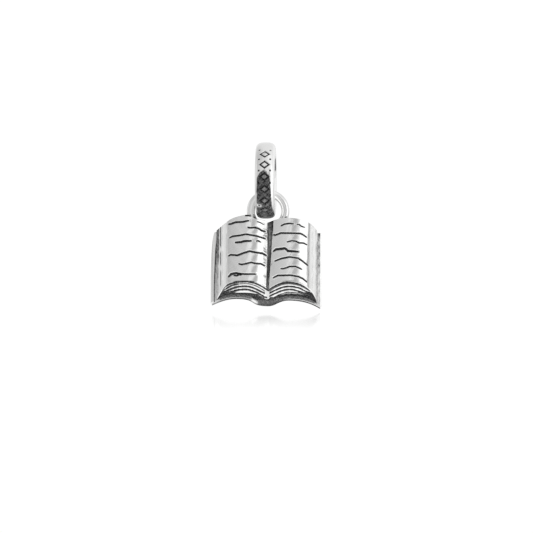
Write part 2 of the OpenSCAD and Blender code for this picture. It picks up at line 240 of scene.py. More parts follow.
# Left margin inside the cover: (z from the lines' level, distance of the rim, oxide)
LEFT_MARGIN = [(-7.7, 5.5, 0.35), (-6.3, 5.46, 0.45), (-5.2, 5.41, 0.6), (-3.8, 5.35, 0.9),
               (-2.6, 5.22, 0.95)]

# Oxide on the ends of the cover, with a painted highlight where x is -1.65 to -1.2 and painted
# shade along the outside edge: (x, at the inside, in the middle, at the outside)
COVER_END = [
    (-5.6, 0.3, 0.25, 0.7), (-4.8, 0.8, 0.45, 0.85), (-3.5, 0.9, 0.55, 0.9), (-2.2, 0.9, 0.6, 0.88),
    (-1.85, 0.85, 0.5, 0.8), (-1.65, 0.1, 0.05, 0.6), (-1.2, 0.1, 0.05, 0.75),
    (-1.0, 0.9, 0.85, 0.9), (0.8, 0.93, 0.9, 0.93), (1.4, 0.92, 0.8, 0.92), (2.0, 0.9, 0.5, 0.88),
    (3.0, 0.9, 0.4, 0.88), (4.0, 0.85, 0.35, 0.9), (4.7, 0.4, 0.25, 0.9), (5.3, 0.1, 0.1, 0.9)]

# Filling: (x, oxide), and light streaks in it: (share of its depth, strength, (x, share) rows)
FILLING = [(-0.9, 0.97), (-0.4, 0.88), (0.4, 0.9), (0.9, 0.98)]
STREAKS = [(0.6, 0.5, [(1.1, 0.0), (1.5, 1.0), (3.0, 1.0), (3.6, 0.0)]),
           (0.4, 0.6, [(-1.05, 0.0), (-0.85, 1.0), (-0.35, 1.0), (-0.2, 0.0)])]
STREAK_W = 0.06

# Dark field on the front of the bail: (degrees above level, its left side, its right side)
BAIL_FIELD = [(-90, -0.86, 0.93), (-68, -0.84, 0.91), (-56, -0.78, 0.8), (-40, -0.8, 0.72),
              (-14, -0.79, 0.63), (14, -0.7, 0.5)]

# Light of the studio near the ground: degrees to the right of the camera's side, and levels
STUDIO = [(-90, 0.74), (-75, 0.59), (-50, 0.63), (-30, 0.68), (-20, 0.68), (-10, 0.73), (-4, 0.74),
          (0, 0.74), (3, 0.73), (7, 0.89), (10, 0.86), (13, 0.6), (17, 0.54), (20, 0.52), (27, 0.55),
          (31, 0.62), (40, 0.87), (46, 1.3), (80, 1.3), (92, 0.75), (112, 0.98), (150, 0.92),
          (170, 0.85), (200, 0.82), (225, 0.64), (240, 0.74), (252, 0.9), (270, 0.74)]
# The same for the light from above
STUDIO_TOP = [(-90, 0.55), (-30, 0.6), (0, 0.78), (25, 0.9), (60, 1.0), (120, 0.85), (180, 0.8),
              (230, 0.62), (270, 0.55)]
BACKGROUND = 1.03

# Floor in metres: its half size, its height, the y from where it starts to mirror the charm to
# where it does so fully, and how much of its gloss it keeps
FLOOR_SIZE = 0.25
FLOOR_Z = -15.05 * MM
GLOSSY_Y = (-0.13, -0.05)
FLOOR_MIRROR = 0.36
# It is bright under the charm, in an oval that fades out between two radii along x. Outside it
# the charm mirrors the studio's levels, times BEHIND_LEVEL from BEHIND_Y on to the back.
BRIGHT_FLOOR = 1.12
OVAL_FADE = (0.014, 0.028)
OVAL_FLATNESS = 2.2
OVAL_MIDDLE_Y = -0.002
BEHIND_Y = 0.012
BEHIND_LEVEL = 0.78

POLISHED_COLOUR = (0.93, 0.93, 0.925, 1)
OXIDE_COLOUR = (0.022, 0.022, 0.023, 1)

# Camera: its distance in metres, the width of its frame at the charm in millimetres, the
# photograph's width in pixels, and the pixel of the origin
CAMERA_DISTANCE = 0.36
FRAME_MM = 53.3
PHOTO_PX = 533
ORIGIN_PX = (265.9, 160.7)


def smoothstep(x, low, high):
    """Soft step from 0 at low to 1 at high."""
    t = np.clip((np.asarray(x, float) - low) / (high - low), 0, 1)
    return t * t * (3 - 2 * t)


def mix(a, b, t):
    """The value at share t of the way from a to b."""
    return a + (b - a) * t


def look_up(at, rows):
    """Value at a place, between the rows of a table of (place, value)."""
    return np.interp(at, *zip(*rows))


def wobble(x, z, size, seed):
    """Smooth uneven field between -1 and 1, of features about size wide."""
    a = np.sin(x / size * 2.1 + seed) * np.cos(z / size * 1.7 - 1.3 * seed)
    b = np.sin(x / size * 4.3 - z / size * 3.1 + 2.2 * seed) * 0.6
    c = np.cos(x / size * 7.7 + z / size * 8.9 + 0.7 * seed) * 0.35
    return (a + b + c) / 1.95


def curve(a, b, run_a, depth_a, run_b, depth_b):
    """Dense points of the cubic from a to b, with handles at shares of the way across."""
    t = np.linspace(0, 1, 300)[:, None]
    c, d = (mix(a[0], b[0], run_a), depth_a), (mix(a[0], b[0], run_b), depth_b)
    a, b, c, d = (np.array(p, float) for p in (a, b, c, d))
    return a * (1 - t) ** 3 + 3 * c * t * (1 - t) ** 2 + 3 * d * t * t * (1 - t) + b * t ** 3


def resample(points, count):
    """count points evenly spread along the line through points."""
    length = np.concatenate([[0], np.cumsum(np.linalg.norm(np.diff(points, axis=0), axis=1))])
    at = np.linspace(0, length[-1], count)
    return np.column_stack([np.interp(at, length, points[:, i]) for i in range(2)])


def page_points(half):
    """Paper surface of one half from the gutter over the crest and down the fore-edge."""
    crest, lip, rise, fall = half["crest"], half["lip"], half["rise"], half["fall"]
    up = curve((0, GUTTER_DEPTH), crest, rise[0], mix(GUTTER_DEPTH, crest[1], rise[1]),
               rise[2], crest[1])
    down = curve(crest, lip, fall[0], crest[1], fall[1], mix(crest[1], lip[1], fall[2]))
    return np.vstack([up, down[1:]])


def stack_thickness(half, x, depth):
    """Thickness of the paper behind a point of its surface."""
    crest = half["crest"]
    inner = mix(GUTTER_STACK_T, STACK_T, np.clip(x / crest[0], 0, 1))
    outer = np.maximum(LIP_T, crest[1] + STACK_T - depth)
    return np.where(x < crest[0], inner, outer)


def cover_points(half):
    """Outside of the cover of one half, from the spine to its edge."""
    board, edge, spine, back = half["board"], half["edge"], half["spine"], half["back"]
    inner = curve((0, SPINE_DEPTH), board, spine[0], SPINE_DEPTH, spine[1], board[1])
    outer = curve(board, edge, back[0], board[1], back[1], mix(board[1], edge[1], back[2]))
    return np.vstack([inner, outer[1:]])


def both_halves(left, right):
    """Points of the left half, mirrored to its side, then those of the right half."""
    return np.vstack([(left * (-1, 1))[::-1], right[1:]])


def bottom_z(x, depth):
    """Height of the slanted bottom end, which is the same at every x."""
    return PAGE_BOTTOM_Z - BOTTOM_SLANT * depth


def top_z(x, depth):
    """Height of the bent, slanted top end, cut back where the bail swings past."""
    at = np.linspace(-5.9, 5.6, 400)
    falls = look_up(at, TOP_FALLS)
    soft = np.convolve(np.pad(falls, 12, "edge"), np.full(25, 1 / 25), "valid")
    plane = PAGE_TOP_Z - np.interp(x, at, soft) - TOP_SLANT * depth
    away = np.abs(x + BOOK_X)
    radius = RELIEF_R - RELIEF_TAPER * np.maximum(0, away - RELIEF_HALF_W)
    y = CREST_Y + depth
    clear = PIVOT_Z - np.sqrt(np.maximum(radius ** 2 - y ** 2, 0.01))
    relieved = (away < RELIEF_END) & (np.abs(y) < radius)
    return np.where(relieved, np.minimum(plane, clear), plane)


def cover_top_z(x, depth):
    """The cover's top end, worn down along its upper left corner."""
    t = np.linspace(0, 1, 60)
    (run_a, fall_a), (run_b, fall_b) = CORNER_HANDLES
    run = 3 * run_a * t * (1 - t) ** 2 + 3 * run_b * t * t * (1 - t) + t ** 3
    fall = (1 - t) ** 3 + 3 * fall_a * t * (1 - t) ** 2 + 3 * fall_b * t * t * (1 - t)
    edge = -LEFT["edge"][0]
    worn = PAGE_TOP_Z - CORNER_DROP - CORNER_FALL * np.interp(x, run * CORNER_RUN + edge, fall)
    top = top_z(x, depth)
    return np.where(x < CORNER_RUN + edge, np.minimum(top, worn), top)


def line_distance(x, z, points):
    """Distance of each place from the nearest stretch of a line, and the share along it."""
    nearest, share = np.full(x.shape, 9.0), np.zeros(x.shape)
    count = len(points) - 1
    for i, (a, b) in enumerate(zip(points, points[1:])):
        (ax, az), (bx, bz) = a, b
        t = ((x - ax) * (bx - ax) + (z - az) * (bz - az)) / ((bx - ax) ** 2 + (bz - az) ** 2)
        t = np.clip(t, 0, 1)
        away = np.hypot(x - ax - t * (bx - ax), z - az - t * (bz - az))
        share = np.where(away < nearest, (i + t) / count, share)
        nearest = np.minimum(nearest, away)
    return nearest, share


def normals_2d(points):
    """Unit normals of an open line, pointing to greater depth."""
    t = np.gradient(points, axis=0)
    n = np.column_stack([-t[:, 1], t[:, 0]])
    return n / np.linalg.norm(n, axis=1)[:, None]


class Patches:
    """Collects grids of points into one mesh with a value at each point for oxidation and painted
    light.
    """

    def __init__(self):
        self.verts, self.faces, self.oxide_and_shade = [], [], []

    def add(self, grid, oxide_and_shade, close_rows=False, close_cols=False):
        """Add a grid of points with their values for oxidation and painted light, joined round along
        its rows or columns.
        """
        rows, cols = grid.shape[:2]
        base = sum(len(v) for v in self.verts)
        self.verts.append(grid.reshape(-1, 3))
        self.oxide_and_shade.append(np.broadcast_to(oxide_and_shade, (rows, cols)).reshape(-1))
        r = np.arange(rows if close_rows else rows - 1)
        c = np.arange(cols if close_cols else cols - 1)
        r, c = (m.ravel() for m in np.meshgrid(r, c, indexing="ij"))
        r2, c2 = (r + 1) % rows, (c + 1) % cols
        self.faces.append(base + np.column_stack([r * cols + c, r * cols + c2,
                                                  r2 * cols + c2, r2 * cols + c]))

    def build(self, name, material, body, node):
        """Make the piece, which rides on a body and dresses a node."""
        mesh = bpy.data.meshes.new(name)
        mesh.from_pydata((np.vstack(self.verts) * MM).tolist(), [],
                         np.vstack(self.faces).tolist())
        layer = mesh.attributes.new("oxide_and_shade", "FLOAT", "POINT")
        layer.data.foreach_set("value", np.clip(np.concatenate(self.oxide_and_shade), 0, 1))
        bm = bmesh.new()
        bm.from_mesh(mesh)
        bmesh.ops.remove_doubles(bm, verts=bm.verts, dist=MERGE * MM)
        bmesh.ops.dissolve_degenerate(bm, edges=bm.edges, dist=MERGE / 2 * MM)
        bmesh.ops.recalc_face_normals(bm, faces=bm.faces)
        bm.to_mesh(mesh)
        bm.free()
        mesh.polygons.foreach_set("use_smooth", [True] * len(mesh.polygons))
        mesh.set_sharp_from_angle(angle=math.radians(SHARP_DEGREES))
        mesh.materials.append(material)
        piece = bpy.data.objects.new(name, mesh)
        bpy.context.collection.objects.link(piece)
        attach(piece, body)
        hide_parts(node)
        return piece


def book_space(x, depth, z):
    """Points of the book's own profile in the shared frame."""
    return np.stack(np.broadcast_arrays(x + BOOK_X, depth + CREST_Y, z), axis=-1)


def end_rows(low, high, radius, rows):
    """Heights from a rounded lower edge to a rounded upper edge, and the inset of each row."""
    turn = np.linspace(0, math.pi / 2, 4)[:, None]
    sink, rise = radius * (1 - np.sin(turn)), radius * (1 - np.cos(turn))
    bottom, top = low + rise, high - rise[::-1]
    share = np.linspace(0, 1, rows + 2)[1:-1, None]
    z = np.vstack([bottom, mix(bottom[-1], top[0], share), top])
    return z, np.vstack([sink, np.zeros((rows, 1)), sink[::-1]])


def gutter_relief(x, up):
    """Depth and oxide of the dark gutter, which leans and narrows towards its bottom."""
    heights, middles, half_widths, tones = zip(*GUTTER)
    middle = np.interp(up, heights, middles)
    half_w = np.interp(up, heights, half_widths) * (1 + 0.1 * wobble(x, up, 0.2, 4.0))
    off = np.abs(x - middle)
    depth = GUTTER_GROOVE * (1 - smoothstep(off, 0.3 * half_w, 1.4 * half_w))
    dark = np.interp(up, heights, tones) + 0.1 * wobble(x, up, 0.16, 9.0)
    dark = dark + 0.16 * smoothstep(x - middle, -0.5 * half_w, 0.5 * half_w)
    return depth, dark * (1 - smoothstep(off, 0.85 * half_w, 1.35 * half_w))


def page_relief(x, z):
    """Depth below the paper, oxide, and the place within its panel for all the page surface."""
    up = z - LINES_Z
    lean = np.zeros(x.shape)
    depth = 0.006 + 0.004 * wobble(x, up, 2.2, 1.0)
    oxide_and_shade = np.zeros(x.shape)
    for width, points in LINES:
        away, share = line_distance(x, up, points)
        taper = 0.7 + 0.3 * np.sin(math.pi * np.clip(share, 0.02, 0.98)) ** 0.5
        half_w = 0.6 * width * taper * (1 + 0.14 * wobble(x, up, 0.13, width * 40))
        depth += LINE_DEPTH * (1 - smoothstep(away, 0.5 * half_w, 1.5 * half_w))
        depth -= LINE_BURR * np.exp(-((away - 2.0 * half_w) / (0.55 * half_w)) ** 2)
        oxide_and_shade = np.maximum(oxide_and_shade, 1 - smoothstep(away, 0.75 * half_w, 1.25 * half_w))
    for middle, heights in TWISTS:
        heights = np.array(heights[::-1])
        panel = np.clip(np.searchsorted(heights, up) - 1, 0, len(heights) - 2)
        span = heights[panel + 1] - heights[panel]
        place = 2 * (up - heights[panel]) / span - 1
        place = place * smoothstep(span * (1 - np.abs(place)) / 2, 0, TWIST_FADE)
        place = np.clip(place, -1, 1)
        off = x - middle
        turn = off / (1 + (off / TWIST_W) ** 2) ** 2
        depth += 0.01 - TWIST_DEPTH * turn * place
        lean = np.where(x * middle > 0, place, lean)
    return depth, oxide_and_shade, lean


def left_stain(x, up, border, lip):
    """Oxide on the left fore-edge: a ragged band along the lip, and a row of dashes."""
    start = lip - look_up(up, LIP_STAIN_W) + 0.04 * wobble(up, 0, 0.5, 2.0)
    band = look_up(up, LIP_STAIN) * smoothstep(x, start - 0.03, start + 0.05)
    band = band * (0.85 + 0.35 * wobble(x * 2, up, 0.18, 3.0))
    off = x - border - DASHES_X + 0.015 * wobble(up, 0, 0.3, 6.0)
    return np.maximum(band, look_up(up, DASHES) * (1 - smoothstep(np.abs(off), 0.03, 0.07)))


def right_stain(x, up, border, lip):
    """Oxide on the right fore-edge: a faint band at the border, and another near the lip."""
    heights, firsts, lasts = zip(*BORDER_STAIN)
    first, last = np.interp(up, heights, firsts), np.interp(up, heights, lasts)
    band = 0.48 * smoothstep(x - border, first - 0.03, first + 0.04)
    band = band * (1 - smoothstep(x - border, last - 0.03, last + 0.04))
    band = band * (1 + 0.35 * wobble(4 * x, up, 0.5, 6.0))
    near_lip = 0.5 * smoothstep(x, lip - 0.14, lip - 0.08) * smoothstep(-up, 2.6, 3.2)
    return np.maximum(band, near_lip * (1 + 0.6 * wobble(1.4 * x, up, 0.2, 4.0)))


def fore_edge_relief(half, x, z):
    """Step at the page's border, and upright, uneven grooves and stains on the fore-edge."""
    up = z - LINES_Z
    border, lip = half["border"], half["lip"][0]
    depth = BORDER_STEP * smoothstep(x, border - 0.05, border + 0.03)
    depth = depth * (1 - smoothstep(x, border + 0.1, border + 0.5))
    stain = left_stain if half is LEFT else right_stain
    oxide_and_shade = np.maximum(stain(x, up, border, lip), 0)
    for place, half_w, strength in half["grooves"]:
        seed = border + place
        centre = seed + 0.012 * wobble(up, x, 0.5, seed * 9)
        broken = np.clip(0.65 + 0.75 * wobble(up, 0, 1.1, centre * 23), 0, 1)
        line = np.exp(-((x - centre) / half_w) ** 2) * broken
        depth += FORE_EDGE_GROOVE * line
        oxide_and_shade = np.maximum(oxide_and_shade, strength * line)
    return depth, oxide_and_shade


def leaf_end(half, x, t):
    """Groove strength between the leaves, over the share t of the stack's thickness."""
    groove = np.zeros((len(t), len(x)))
    for half_w, strength, start, points in half["leaves"]:
        centre = look_up(x, points)
        centre = np.convolve(np.pad(centre, 6, "edge"), np.full(13, 1 / 13), "valid")
        centre = centre + 0.012 * wobble(x, strength, 0.6, half_w * 90)
        thicker = look_up(x, [(2.8, 1.0), (3.4, 1.3), (4.2, 1.6)])
        ragged = half_w * thicker * (1 + 0.2 * wobble(x, strength, 0.25, half_w * 60))
        line = 1 - smoothstep(np.abs(t - centre), 0.6 * ragged, 1.25 * ragged)
        groove = np.maximum(groove, strength * line * smoothstep(x, start, start + 0.1))
    fold_w = look_up(t, half["fold"])
    fold = 0.24 * (1 - smoothstep(x, fold_w, fold_w + 0.1))
    stained = look_up(x, half["stain"])
    stain = smoothstep(t, stained - 0.04, stained + 0.04)
    return np.maximum(np.maximum(groove, fold), stain)


def page_skin(half, front, inward, rows):
    """The page and the fore-edge with their relief, as a grid of points, and their values for
    oxidation and painted shade.
    """
    side = half["side"]
    low, high = bottom_z(side * front[:, 0], front[:, 1]), top_z(side * front[:, 0], front[:, 1])
    z, inset = end_rows(low, high, EDGE_ROUND, rows)
    x = np.broadcast_to(front[:, 0], z.shape)
    page_depth, page_oxide_and_shade, lean = page_relief(side * x, z)
    edge_depth, edge_oxide = fore_edge_relief(half, x, z)
    fold_depth, fold_oxide = gutter_relief(side * x, z - LINES_Z)
    on_page = 1 - smoothstep(x, half["border"] - 0.05, half["border"])
    push = np.maximum(page_depth * on_page + edge_depth, 0) + fold_depth
    push = push * smoothstep(z - low, 0, 0.1) * smoothstep(high - z, 0, 0.1) + inset
    # Painted shade: dark bands on the open paper where it mirrors the darker parts of the studio,
    # slanted with each panel's twist
    slanted = x - 0.24 * side * lean
    painted_shade_bands = look_up(slanted, half["painted_shade_bands"]) * (1 + 0.3 * wobble(x, z, 0.5, 3.0))
    page_oxide_and_shade = np.maximum(page_oxide_and_shade, painted_shade_bands) * on_page
    # Painted shade along the page's lower rounded edge
    painted_hem_shade = half["painted_hem_shade"] * smoothstep(x, 1.0, 1.6) * (1 - smoothstep(x, 3.2, 3.8))
    page_oxide_and_shade = np.maximum(page_oxide_and_shade, painted_hem_shade * (1 - smoothstep(z - low, 0.04, 0.09)))
    grid = book_space(side * (x + inward[:, 0] * push), front[:, 1] + inward[:, 1] * push, z)
    return grid, np.maximum(np.maximum(page_oxide_and_shade, edge_oxide), fold_oxide)


def make_pages(half, name, material):
    """Paper stack of one half: page, fore-edge, and the leaves at both ends."""
    cols, rows, layers = 190, 200, 61
    side = half["side"]
    front = resample(page_points(half), cols)
    x, depth = front[:, 0], front[:, 1]
    thick = stack_thickness(half, x, depth)
    fold = 1 - smoothstep(x, 0, 0.3)[:, None]
    inward = mix(normals_2d(front), np.array([0, 1]), fold)
    skin, oxide_and_shade = page_skin(half, front, inward, rows)
    patches = Patches()
    patches.add(skin, oxide_and_shade)

    # Leaves at the two ends, from the paper's surface to the back of the stack
    t = np.linspace(0, 1, layers)[:, None]
    groove = leaf_end(half, x, t) * smoothstep(thick, LIP_T * 1.3, LIP_T * 2.4)
    stained = smoothstep(x, half["border"] + 0.1, half["border"] + 0.45) * smoothstep(t, 0, 0.3)
    stained = stained * (1 + 0.15 * wobble(x, 2 * t, 0.2, 2.0))
    dark = np.maximum(groove, 0.9 * stained)
    dark[-1] = 1.0
    sunk = LEAF_GROOVE * groove * smoothstep(t, 0.12, 0.3)
    cap_x = side * (x + inward[:, 0] * EDGE_ROUND * (1 - t))
    cap_d = depth + inward[:, 1] * EDGE_ROUND * (1 - t) + t * thick
    for z_end, sign, row in ((bottom_z, 1, 0), (top_z, -1, -1)):
        cap = book_space(cap_x, cap_d, z_end(cap_x, cap_d) + sign * sunk)
        cap[0] = skin[row]
        patches.add(cap, dark)

    # Back of the stack, and the walls along the gutter and the lip
    x, depth = side * x, depth + thick
    back_z = np.vstack([bottom_z(x, depth) + sunk[-1], top_z(x, depth) - sunk[-1]])
    patches.add(book_space(x, depth, back_z), 1.0)
    for end in (0, -1):
        near = skin[:, end]
        far = book_space(x[end], depth[end], np.linspace(*back_z[:, end], len(near)))
        patches.add(mix(near, far, np.linspace(0, 1, 3)[:, None, None]), 0.7)
    return patches.build(name, material, "book_body", "book")


def cover_tone(x, up, above_end, lip):
    """Oxide inside the cover: stained margins beyond the two lips, and dark behind the paper, with a
    painted highlight left of the spine just above the bottom end.
    """
    heights, margins, tones = zip(*LEFT_MARGIN)
    margin = np.interp(up, heights, margins)
    inner = np.interp(up, heights, tones) + 0.25 * wobble(4 * x, up, 0.25, 5.0)
    left = np.where(-x > margin - 0.11, 0.95, inner)
    left = left * (1 - smoothstep(-x, margin - 0.03, margin + 0.03))
    right = 0.64 + 0.2 * wobble(1.4 * x, up, 0.17, 5.0) + 0.26 * wobble(x, up, 0.45, 8.0)
    right = right + 0.3 * smoothstep(up, -2.6, -2.1)
    right = right * (1 - 0.3 * smoothstep(-up, 5.4, 6.4))
    behind = 0.84 + 0.1 * wobble(x, 2 * above_end, 0.15, 3.0)
    # Painted highlight: lighter inside the cover left of the spine, just above the bottom end
    bright = np.exp(-((x + 1.4) / 0.32) ** 4) * (1 - smoothstep(above_end, 0.12, 0.2))
    behind = behind - 0.8 * bright
    return np.where(np.abs(x) < lip - 0.3, behind, np.where(x < 0, left, right))


def round_edge(outer, inner, turns, sign):
    """Points round an edge of the plate between its two faces, out to the left or right."""
    middle, reach = (outer + inner) / 2, (outer - inner) / 2
    out = np.array([sign * abs(reach[1]), 0])
    return np.array([middle + reach * math.cos(a) + out * math.sin(a) for a in turns])


def add_cover_end(patches, x, ring, steps):
    """One end of the cover, from the inside to the outside of the plate, and its round tips."""
    count = len(x)
    t = np.linspace(0, 1, 17)[:, None]
    # The table holds a painted highlight left of the spine, and painted shade along the outside edge
    places, *tones = zip(*COVER_END)
    inner, core, outer = (np.interp(x, places, tone) for tone in tones)
    speck = 0.3 * wobble(x, 3 * t, 0.12, 8.0)
    tone = mix(inner, core + speck, smoothstep(t, 0.04, 0.14))
    tone = mix(tone, outer, smoothstep(t, 0.36, 0.46))
    near, far = ring[:count], ring[count + steps:2 * count + steps][::-1]
    patches.add(mix(far, near, t[:, :, None]), tone)
    for a, b in ((count - 1, count + steps), (2 * count + steps - 1, 2 * count + 2 * steps)):
        tips = ring[np.arange(a, b + 1) % len(ring)]
        hub = (tips[0] + tips[-1]) / 2
        patches.add(np.stack([tips, np.broadcast_to(hub, tips.shape)]), 0.1)


def make_cover(material):
    """The cover with its spine, as one bent plate with rounded edges."""
    cols, rows = 150, 60
    sides = []
    for half in (LEFT, RIGHT):
        points = cover_points(half)
        keep = points[:, 0] < half["edge"][0] - 0.5 * COVER_T
        sides.append(resample(points[keep], cols))
    outside = both_halves(*sides)
    x, depth = outside[:, 0], outside[:, 1]
    thick = mix(COVER_T, SPINE_T, 1 - smoothstep(np.abs(x), 0.4, 1.3))
    margin = np.where(x < 0, LEFT["edge"][0] - LEFT["rim"], RIGHT["edge"][0] - RIGHT["rim"])
    rim = smoothstep(np.abs(x), margin - 0.04, margin + 0.02)
    inside = np.column_stack([x, depth - thick + RIM_STEP * (1 - rim)])
    lip = np.where(x < 0, LEFT["lip"][0], RIGHT["lip"][0])

    # Section of the plate: out along the back, round the right edge, home along the inside
    turns = np.linspace(0, math.pi, 7)[1:-1]
    count, steps = len(x), len(turns)
    loop = np.vstack([outside, round_edge(outside[-1], inside[-1], turns, 1), inside[::-1],
                      round_edge(outside[0], inside[0], turns, -1)[::-1]])
    index = np.concatenate([np.arange(count), np.full(steps, count - 1),
                            np.arange(count)[::-1], np.zeros(steps, int)])
    toward = ((outside + inside) / 2)[index] - loop
    toward /= np.linalg.norm(toward, axis=1)[:, None]
    low, high = bottom_z(loop[:, 0], loop[:, 1]), cover_top_z(loop[:, 0], loop[:, 1])
    z, inset = end_rows(low, high, COVER_ROUND, rows)
    x2, d2 = loop[:, 0] + toward[:, 0] * inset, loop[:, 1] + toward[:, 1] * inset
    back = np.arange(len(loop)) < count
    d2 = d2 - back * (0.012 + 0.012 * wobble(x2, z, 1.3, 2.0))
    on_inside, on_rim = np.zeros(len(loop)), np.zeros(len(loop))
    on_inside[count + steps:2 * count + steps] = (1 - rim)[::-1]
    on_rim[count + steps:2 * count + steps] = rim[::-1]
    dark = on_inside * cover_tone(x2, z - LINES_Z, z - low, lip[index])
    dark = dark + 0.1 * on_rim * (x2 < 0)
    # Painted shade: a dark line along the lower edge of the cover's back
    outline = 0.92 * back * (1 - smoothstep(z - low, 0.05, 0.1))
    grid = book_space(x2, d2, z)
    patches = Patches()
    patches.add(grid, np.maximum(dark, outline), close_cols=True)
    for row in (0, -1):
        add_cover_end(patches, x, grid[row], steps)
    return patches.build("cover", material, "book_body", "book")


def make_filling(material):
    """Dark filling between the paper and the cover, set back from the ends and the lips."""
    count, layers = 90, 16
    fronts, backs = [], []
    for half in (LEFT, RIGHT):
        x = np.linspace(0, half["lip"][0] - RECESS, count)
        page, cover = page_points(half), cover_points(half)
        depth = np.interp(x, page[:, 0], page[:, 1])
        depth = depth + FILLING_FRONT * stack_thickness(half, x, depth)
        fronts.append(np.column_stack([x, depth]))
        backs.append(np.column_stack([x, np.interp(x, cover[:, 0], cover[:, 1]) - COVER_T / 2]))
    front, back = both_halves(*fronts), both_halves(*backs)
    t = np.linspace(0, 1, layers)[:, None]
    x = np.broadcast_to(front[:, 0], (layers, len(front)))
    depth = mix(front[:, 1], back[:, 1], t)
    rough = 0.04 * wobble(x, depth, 0.2, 5.0)
    tone = look_up(x, FILLING) + 0.08 * wobble(x, depth * 3, 0.2, 2.0)
    for middle, strength, rows in STREAKS:
        tone = tone - strength * look_up(x, rows) * np.exp(-((t - middle) / STREAK_W) ** 2)
    ends = [book_space(x, depth, bottom_z(x, depth) + RECESS + rough),
            book_space(x, depth, top_z(x, depth) - RECESS - rough)]
    patches = Patches()
    for grid in ends:
        patches.add(grid, tone)
    for side in ((0,), (-1,), (slice(None), 0), (slice(None), -1)):
        patches.add(np.stack([end[side] for end in ends]), 1.0)
    return patches.build("filling", material, "book_body", "book")


def make_ring(material):
    """The soldered ring, flared by solder where it enters the book's top end."""
    around, section = 180, 44
    a = np.linspace(0, 2 * math.pi, around, endpoint=False)[:, None]
    b = np.linspace(0, 2 * math.pi, section, endpoint=False)[None]
    centre_x, centre_z = RING_R * np.sin(a), RING_Z + RING_R * np.cos(a)
    above = centre_z - top_z(centre_x, -CREST_Y)
    outer = smoothstep(np.cos(b), -0.2, 0.6)
    flare = SOLDER_FLARE * np.exp(-(above / SOLDER_REACH) ** 2) * outer
    uneven = 0.006 * (wobble(a * RING_R, b * RING_WIRE_R, 0.6, 3.0) - 1)
    buried = 1 - 0.75 * smoothstep(-above, 0.1, 0.5)
    wire = (RING_WIRE_R * (1 + flare) + uneven) * buried
    out = RING_R + wire * np.cos(b)
    grid = np.stack([RING_X + out * np.sin(a), wire * np.sin(b), RING_Z + out * np.cos(a)],
                    axis=-1)
    seam = np.exp(-((above + 0.03) / 0.07) ** 2) * (1 - smoothstep(centre_x, 0.2, 0.8))
    seam = seam * smoothstep(-np.sin(b), -0.3, 0.1)
    # Painted shade: grey over the right half of the wire, and a trace of it over the left
    right = smoothstep(np.sin(a), 0.3, 0.7) * (0.13 + 0.08 * wobble(a, b, 0.5, 2.0))
    left = smoothstep(-np.sin(a), 0.3, 0.7) * 0.03
    patches = Patches()
    patches.add(grid, np.maximum(np.maximum(0.9 * seam, right), left), True, True)
    return patches.build("ring", material, "book_body", "book")


def bail_section(count):
    """Section of the band as (across, out) from the bail's axis, evenly spread."""
    half_w = BAIL_W / 2
    across = half_w * np.sin(np.linspace(0, math.pi / 2, 120))
    drop = DOME_FALL * (1 - (1 - (across / half_w) ** DOME_POWER) ** (1 / DOME_POWER))
    dome = np.column_stack([across, BAIL_R - drop])
    turn = np.linspace(0, -math.pi / 2, 60)
    seat = np.column_stack([half_w - BAIL_INNER_ROUND * (1 - np.cos(turn)),
                            BAIL_HOLE_R + BAIL_INNER_ROUND * (1 + np.sin(turn))])
    side = np.vstack([dome, seat])
    loop = np.vstack([side, (side * (-1, 1))[::-1]])
    return resample(loop, count + 1)[:-1]


def ornament(across, angle):
    """Depth and oxide of the engraved row, and where its inner lozenges stand."""
    depth, oxide_and_shade, raised = (np.zeros(across.shape) for _ in range(3))
    first = LOZENGE_MIDDLE - LOZENGE_PITCH * (LOZENGE_COUNT - 1) / 2
    for i in range(LOZENGE_COUNT):
        along = (angle - first - i * LOZENGE_PITCH) * BAIL_R
        edge = 1 - np.abs(across) / (LOZENGE_W / 2) - np.abs(along) / (LOZENGE_H / 2)
        inner = edge - 0.44
        cut = smoothstep(edge, -0.04, 0.08) * (1 - smoothstep(inner, -0.04, 0.08))
        depth += ENGRAVING * cut
        oxide_and_shade = np.maximum(oxide_and_shade, cut)
        raised = np.maximum(raised, smoothstep(inner, 0.02, 0.14))
    for i in range(LOZENGE_COUNT + 1):
        along = (angle - first - (i - 0.5) * LOZENGE_PITCH) * BAIL_R
        for x in (-DOT_X, DOT_X):
            cut = 1 - smoothstep(np.hypot(across - x, along), 0.6 * DOT_R, 1.15 * DOT_R)
            depth += ENGRAVING * cut
            oxide_and_shade = np.maximum(oxide_and_shade, cut)
    return depth, oxide_and_shade, raised


def bail_patina(across, along, tilt, raised):
    """Dark field left on the lower front of the band between its bright rims."""
    heights, lefts, rights = zip(*BAIL_FIELD)
    left, right = np.interp(tilt, heights, lefts), np.interp(tilt, heights, rights)
    ragged = 0.025 * wobble(across, along, 0.3, 7.0)
    field = smoothstep(across, left - 0.04 + ragged, left + 0.05 + ragged)
    field *= 1 - smoothstep(across, right - 0.05 + ragged, right + 0.04 + ragged)
    dome = tilt + 26 * (across + 0.1) ** 2 + 2.0 * wobble(across, along, 0.3, 7.0)
    field *= (1 - smoothstep(dome, 12, 16)) * smoothstep(tilt, -92, -84)
    field *= 1 - np.exp(-((tilt + 43) / 2.6) ** 2) * (1 - smoothstep(across, -0.5, -0.2))
    tone = 0.9 + 0.09 * wobble(across, along, 0.22, 8.0) - 0.16 * raised
    return field * tone


def hole_shade(across, out, tilt):
    """Dark streak at the right edge of the hole, high at the back."""
    streak = 0.85 * smoothstep(across, 0.74, 0.8) * (1 - smoothstep(across, 0.91, 0.95))
    streak = streak * (1 - smoothstep(out, 2.7, 2.9))
    return streak * smoothstep(tilt, 114, 120) * (1 - smoothstep(tilt, 152, 158))


